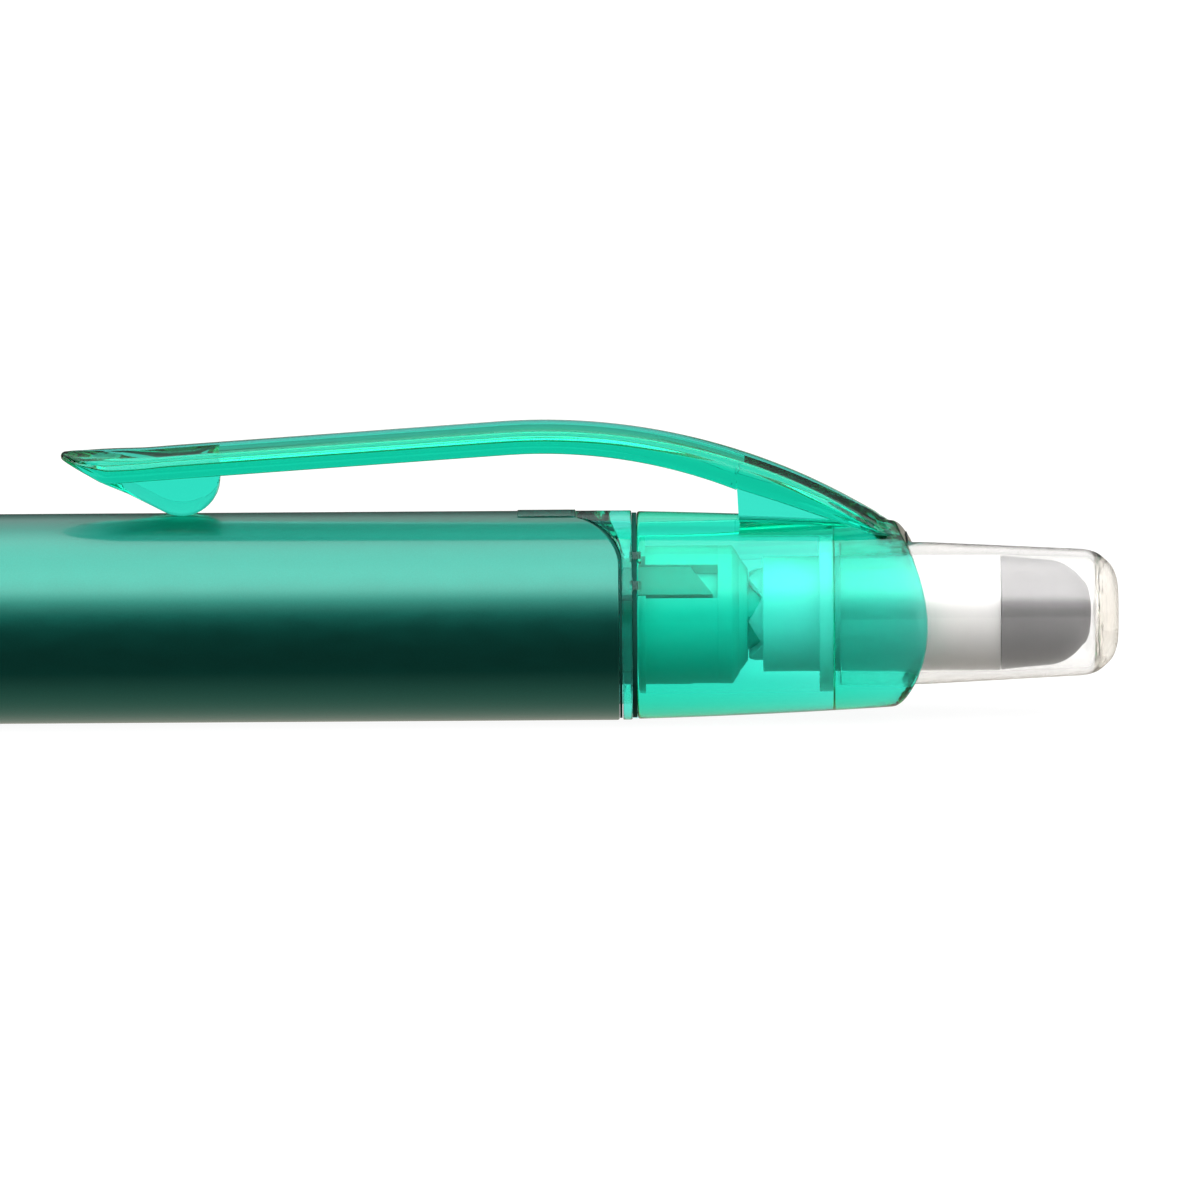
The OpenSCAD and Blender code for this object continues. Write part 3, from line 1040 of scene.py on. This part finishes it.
def spring_x(turn):
    """Where the wire's middle lies after some turns. The first and the last turn are closed."""
    closed = 2 * WIRE_R * 1.04
    free = SPRING_END_X - SPRING_X - 2 * WIRE_R - 2 * closed
    if turn < 1:
        return SPRING_X + WIRE_R + closed * turn
    if turn > TURNS - 1:
        return SPRING_X + WIRE_R + closed + free + closed * (turn - TURNS + 1)
    return SPRING_X + WIRE_R + closed + free * (turn - 1) / (TURNS - 2)


def wire_ring(turn):
    ring_points = []
    for k in range(WIRE_SIDES):
        b = 2 * math.pi * k / WIRE_SIDES
        x = spring_x(turn) + WIRE_R * math.sin(b)
        ring_points.append(at(x, SPRING_R + WIRE_R * math.cos(b), 360 * turn))
    return ring_points


coil = [wire_ring(i / TURN_STEPS) for i in range(TURNS * TURN_STEPS + 1)]
spring = Shape().grid(coil, False, True, caps=True)
spring = spring.finish("coil_spring", None, STEEL, "spring_steel", ["return_spring"])
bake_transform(spring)


# ---------------------------------------------------------------- floor, light and camera


def scattered_ray(nodes, light_path):
    """1 for a ray that has been scattered by a matt surface, and 0 for any other."""
    return nodes.math("MINIMUM", light_path["Diffuse Depth"], 1)


# To the eye and through clear plastic the floor is white. Mirror-like surfaces see it dark in
# front of the pen and grey under it and behind, and matt ones get a little warm light from it.
FLOOR_SIZE = 8
FLOOR_BOUNCE = 0.15
bpy.ops.mesh.primitive_plane_add(size=FLOOR_SIZE, location=(0, 0, 0))
floor = bpy.context.object
floor.name = "floor"
pale = new_material("pale_floor")
pale.set(Base_Color=(0.08, 0.08, 0.08, 1), Roughness=0.9, Specular_IOR_Level=0.0)
pale.set(Emission_Color=(1, 1, 1, 1), Emission_Strength=0.94)
rays = pale.add("ShaderNodeLightPath").outputs
floor_scattered = scattered_ray(pale, rays)
mirrored = pale.math("SUBTRACT", rays["Is Glossy Ray"], rays["Is Transmission Ray"])
floor_y = pale.parts(pale.add("ShaderNodeNewGeometry").outputs["Position"])["Y"]
glow = pale.ranged(floor_y, 0.03, 0.42, -0.0072, -0.002)
glow = pale.math("MAXIMUM", glow, pale.math("MULTIPLY", floor_scattered, FLOOR_BOUNCE))
shade = pale.add("ShaderNodeEmission", Color=(1.0, 0.93, 0.80, 1))
pale.link(glow, shade.inputs["Strength"])
choose = pale.add("ShaderNodeMixShader")
pale.link(pale.math("MAXIMUM", mirrored, floor_scattered), choose.inputs[0])
pale.link(pale.shader.outputs[0], choose.inputs[1])
pale.link(shade.outputs[0], choose.inputs[2])
pale.link(choose.outputs[0], pale.output.inputs["Surface"])
floor.data.materials.append(pale.owner)

# The studio: a broad light from 40 degrees above the front horizon to overhead, fading behind, and
# a dim room elsewhere. Each pair is an angle in the plane across the pen, from the front horizon
# up and over, and the brightness there.
SKY = [
    (-180, 0.01),
    (-8, 0.01),
    (12, 0.03),
    (27, 0.27),
    (41, 1.0),
    (58, 0.98),
    (72, 0.87),
    (104, 0.83),
    (114, 0.6),
    (123, 0.4),
    (134, 0.31),
    (148, 0.23),
    (158, 0.07),
    (170, 0.02),
    (180, 0.015),
]
SKY_STRENGTH = 3.2
# What matt surfaces get: the same light, reaching lower in front.
FILL = [
    (-180, 0.02),
    (-8, 0.02),
    (10, 0.12),
    (28, 0.85),
    (36, 1.0),
    (75, 0.97),
    (106, 0.8),
    (119, 0.1),
    (126, 0.03),
    (180, 0.03),
]
FILL_STRENGTH = 5.3
SKY_ENDS = 0.2
BACKDROP = 0.315

studio = Nodes(bpy.data.worlds.new("studio"), "Background", "World Output")
bpy.context.scene.world = studio.owner
toward_sky = studio.parts(studio.add("ShaderNodeTexCoord").outputs["Generated"])
over = studio.math("ARCTAN2", toward_sky["Z"], studio.math("MULTIPLY", toward_sky["Y"], -1))
sky_rays = studio.add("ShaderNodeLightPath").outputs
sky_scattered = scattered_ray(studio, sky_rays)


def dome_light(levels):
    """Brightness against the angle over the pen, as a colour ramp."""
    ramp = studio.add("ShaderNodeValToRGB")
    elements = ramp.color_ramp.elements
    for angle, level in levels[1:-1]:
        elements.new((angle + 180) / 360).color = (level, level, level, 1)
    for element, (_, level) in zip((elements[0], elements[-1]), (levels[0], levels[-1])):
        element.color = (level, level, level, 1)
    studio.link(studio.ranged(over, 0, 1, -math.pi, math.pi), ramp.inputs["Fac"])
    return ramp.outputs["Color"]


light = studio.blend(sky_scattered, dome_light(SKY), dome_light(FILL))
# Past the pen's ends the room is even and dim.
endward = studio.math("ABSOLUTE", toward_sky["X"])
ends = studio.ranged(endward, 0, 1, 0.75, 0.98, "SMOOTHSTEP")
light = studio.blend(ends, light, (SKY_ENDS, SKY_ENDS, SKY_ENDS))
# Clear plastic looks through at a white backdrop that stands up behind the pen.
behind = studio.ranged(over, 0, 1, math.radians(142), math.radians(158))
through = studio.math("MULTIPLY", behind, sky_rays["Is Transmission Ray"])
light = studio.blend(through, light, (BACKDROP, BACKDROP, BACKDROP))
strength = studio.ranged(sky_scattered, SKY_STRENGTH, FILL_STRENGTH, 0, 1)
studio.link(light, studio.shader.inputs["Color"])
studio.link(strength, studio.shader.inputs["Strength"])

# A long lens, 9.5 degrees above the side of the pen. Its frame is VIEW_WIDTH wide, and takes in
# the pen's rear 56 mm.
VIEW_X = 46.1
VIEW_DROP = 0.755
VIEW_WIDTH = 60
ELEVATION = math.radians(9.5)
ROLL = math.radians(0.37)
camera_data = bpy.data.cameras.new("camera")
camera_data.sensor_width = 36
camera_data.lens = 540
camera_data.clip_start = 0.01
camera_data.clip_end = 20
camera = bpy.data.objects.new("camera", camera_data)
bpy.context.scene.collection.objects.link(camera)
bpy.context.scene.camera = camera
distance = VIEW_WIDTH * camera_data.lens / camera_data.sensor_width
toward = Vector((0, math.cos(ELEVATION), -math.sin(ELEVATION)))
target = Vector((VIEW_X, 0, AXIS_H + VIEW_DROP / math.cos(ELEVATION)))
camera.location = (target - toward * distance) * MM
look = toward.to_track_quat("-Z", "Y").to_matrix()
camera.rotation_euler = (look @ look.Rotation(-ROLL, 3, "Z")).to_euler()

scene = bpy.context.scene
scene.view_settings.view_transform = "Standard"
scene.cycles.max_bounces = 24
scene.cycles.transmission_bounces = 20
scene.cycles.glossy_bounces = 12
scene.cycles.diffuse_bounces = 4
